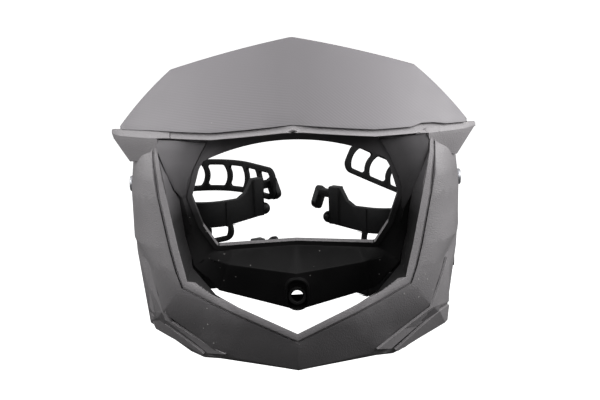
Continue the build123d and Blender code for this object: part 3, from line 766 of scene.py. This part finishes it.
right_half = spread(add, join, parts["X"], 0, 1, -0.004, 0.004)
woven = add("ShaderNodeMix", data_type="FLOAT")
join(right_half, woven.inputs["Factor"])
join(threads(slant=0.1, per_metre=600), woven.inputs["A"])
join(threads(slant=0.75, per_metre=500), woven.inputs["B"])
off_middle = calculated(add, join, "ABSOLUTE", parts["X"])
low_part = spread(add, join, parts["Z"], 1, 0.12, 0.062, 0.092)
middle_part = spread(add, join, off_middle, 1, 0.25, 0.04, 0.1)
clearest = calculated(add, join, "MULTIPLY", low_part, middle_part)
shown = calculated(add, join, "MULTIPLY", woven.outputs["Result"], clearest)
tone = spread(add, join, shown, 0, 1, -1, 1)
base = mixed_colour(add, join, tone, (0.218, 0.207, 0.218), (0.252, 0.24, 0.252))
# Painted reflection: the flanks are painted paler, as the side soft boxes mirror in them.
flank = spread(add, join, off_middle, 0, 1, 0.01, 0.075)
painted_flank_sheen = mixed_colour(add, join, flank, grey(0.84), grey(1.1))
weave_and_painted_sheen = tinted(add, join, base.outputs["Result"], painted_flank_sheen.outputs["Result"])
dusty = mixed_colour(add, join, dust.outputs["Mask"], grey(0), (0.36, 0.35, 0.35))
join(weave_and_painted_sheen, dusty.inputs["A"])
join(dusty.outputs["Result"], shader.inputs["Base Color"])
join(spread(add, join, grain.outputs["Tone"], 0.38, 0.5, 0.35, 0.65), shader.inputs["Roughness"])
raised(add, join, shown, shader, strength=0.06, distance=0.0003)
print(film.name, "has", len(film.node_tree.nodes), "nodes")

# %% [markdown]
# ## Brackets and straps
#
# The brackets are unpainted black plastic, and the straps are black rubber. Both swallow light, and
# differ only a little in tone, gloss and grain, so one function makes both.

# %% Materials: bracket plastic and rubber
def dull_black(name, specular, cells, softness, tones, roughness, relief, depth):
    """A dark finish whose tone and gloss drift between two values, with a fine relief."""
    material, shader, add, join = new_finish(name, specular)
    grain = use_group(add, pebble_grain, Cells_per_metre=cells, Softness=softness)
    base = mixed_colour(add, join, grain.outputs["Tone"], *tones)
    join(base.outputs["Result"], shader.inputs["Base Color"])
    join(spread(add, join, grain.outputs["Tone"], *roughness, 0.35, 0.65), shader.inputs["Roughness"])
    raised(add, join, grain.outputs["Height"], shader, relief, depth)
    print(name, "has", len(material.node_tree.nodes), "nodes")
    return material


matte = dull_black("matte_bracket_plastic", specular=0.25, cells=900, softness=0.8,
                   tones=((0.004, 0.004, 0.0045), (0.009, 0.009, 0.0095)), roughness=(0.5, 0.7),
                   relief=0.2, depth=0.0004)
rubber = dull_black("strap_rubber", specular=0.2, cells=2500, softness=0.5,
                    tones=((0.003, 0.003, 0.0035), (0.008, 0.008, 0.008)), roughness=(0.6, 0.8),
                    relief=0.15, depth=0.0002)

# %% [markdown]
# ## Zinc-plated steel
#
# The screws, washers and nuts are zinc plated: a bluish grey metal. An even gloss would look like chrome,
# so the pebble grain makes both tone and gloss cloudy.

# %% Material: zinc-plated steel
zinc, shader, add, join = new_finish("zinc_plated_steel")
shader.inputs["Metallic"].default_value = 1.0
grain = use_group(add, pebble_grain, Cells_per_metre=1200, Softness=0.4)
base = mixed_colour(add, join, grain.outputs["Tone"], (0.32, 0.33, 0.35), (0.5, 0.5, 0.52))
join(base.outputs["Result"], shader.inputs["Base Color"])
join(spread(add, join, grain.outputs["Height"], 0.25, 0.5, 0.0, 0.6), shader.inputs["Roughness"])
raised(add, join, grain.outputs["Height"], shader, strength=0.08, distance=0.0001)
print(zinc.name, "has", len(zinc.node_tree.nodes), "nodes")

# %% [markdown]
# ## Finishes on the pieces
#
# Most pieces have one finish all over, which a table gives to each kind of piece.

# %% Give every piece its finish
finishes = {"mask_shell": plastic, "ear_web": plastic, "corner_layer": highlit_plastic,
            "funnel_web": inner_plastic, "cheek_skin": cheek_plastic, "visor_panel": film,
            "fork_bracket": matte, "rubber_strap": rubber, "side_screw": zinc, "side_washer": zinc,
            "lock_nut": zinc, "visor_screw": zinc}
for name, piece in pieces.items():
    kind = next(kind for kind in finishes if name.startswith(kind))
    piece.data.materials.clear()
    piece.data.materials.append(finishes[kind])
print("pieces with a finish:", len(pieces))

# %% [markdown]
# The mask's shell is one moulding with three finishes. Seen from the front, the line along the raised strip
# parts the grained outside from the smooth inside, whose colour carries painted shade, and the strip itself
# gets a painted highlight. Two masks in the material would blur that line, so each face is given the finish
# of its place. The line runs from the lip down to the middle of the chin, and is the same on both sides.

# %% The strip's line
strip_line = [(96.4, 60), (95.4, 34), (91.2, 6), (84, -29), (79.8, -46), (78.3, -53.1), (57.6, -63),
              (47, -67.8), (40, -71), (0, -89.9)]
strip_margin, strip_width = 0.6, 3.9


def inside_strip(x, z):
    """Tells whether a place in front view, in metres, lies inside the raised strip."""
    across, height = abs(x) * 1000, z * 1000
    if height > strip_line[0][1]:
        return False
    for (x0, z0), (x1, z1) in zip(strip_line, strip_line[1:]):
        if z1 <= height <= z0:
            return across < x0 + (x1 - x0) * (height - z0) / (z1 - z0) - strip_margin
    return False


def off_strip(x, z):
    """The distance in millimetres, in front view, from a place to the strip's line."""
    place = Vector((abs(x) * 1000, z * 1000))
    distances = []
    for start, end in zip(strip_line, strip_line[1:]):
        start, run = Vector(start), Vector(end) - Vector(start)
        share = min(max((place - start).dot(run) / run.length_squared, 0), 1)
        distances.append((place - start - share * run).length)
    return min(distances)


print("the line runs through", len(strip_line), "points; the lamp's middle is inside:", inside_strip(0, 0))

# %% Part the shell's faces
grained, smooth_inner, highlit_strip = 0, 1, 2
steep, sloping = 0.45, 0.3
wall_bottom, wall_top, wall_inside = -0.075, 0.045, 0.055
sill_bottom, sill_half_width = -0.0365, 0.08
panel_bottom, panel_top, panel_front, panel_half_width = -0.09, -0.044, -0.032, 0.074
lip_bottom, lip_depth = 0.038, 0.0015
lip_peak_bottom, lip_peak_half_width = 0.0512, 0.014
highlight_top, highlight_rear = 0.02, -0.01


def finish_at(centre, normal):
    """The number of the finish at a face's centre, in metres."""
    x, y, z = centre
    towards_middle = -normal.x if x > 0 else normal.x
    on_strip_wall = towards_middle > steep and wall_bottom < z < wall_top and abs(x) > wall_inside
    on_ring_sill = normal.z > sloping and z > sill_bottom and y < 0 and abs(x) < sill_half_width
    on_cross_panel = abs(x) < panel_half_width and panel_bottom < z < panel_top and y > panel_front
    on_lip_face = z > lip_bottom and y < lip_face_y(x, z) + lip_depth
    on_lip_peak = z > lip_peak_bottom and abs(x) < lip_peak_half_width
    if not (on_lip_face or on_lip_peak or on_ring_sill):
        if inside_strip(x, z) or on_strip_wall or on_cross_panel:
            return smooth_inner
    faces_front = normal.y < -sloping
    # Front faces along the strip, low down, get the painted highlight.
    if z < highlight_top and y < highlight_rear and faces_front and off_strip(x, z) < strip_width:
        return highlit_strip
    return grained


shell = shell_piece.data
shell.materials.append(inner_plastic)
shell.materials.append(highlit_plastic)
for face in shell.polygons:
    face.material_index = finish_at(face.center, face.normal)
for index, material in enumerate(shell.materials):
    print(material.name, "faces:", sum(face.material_index == index for face in shell.polygons))
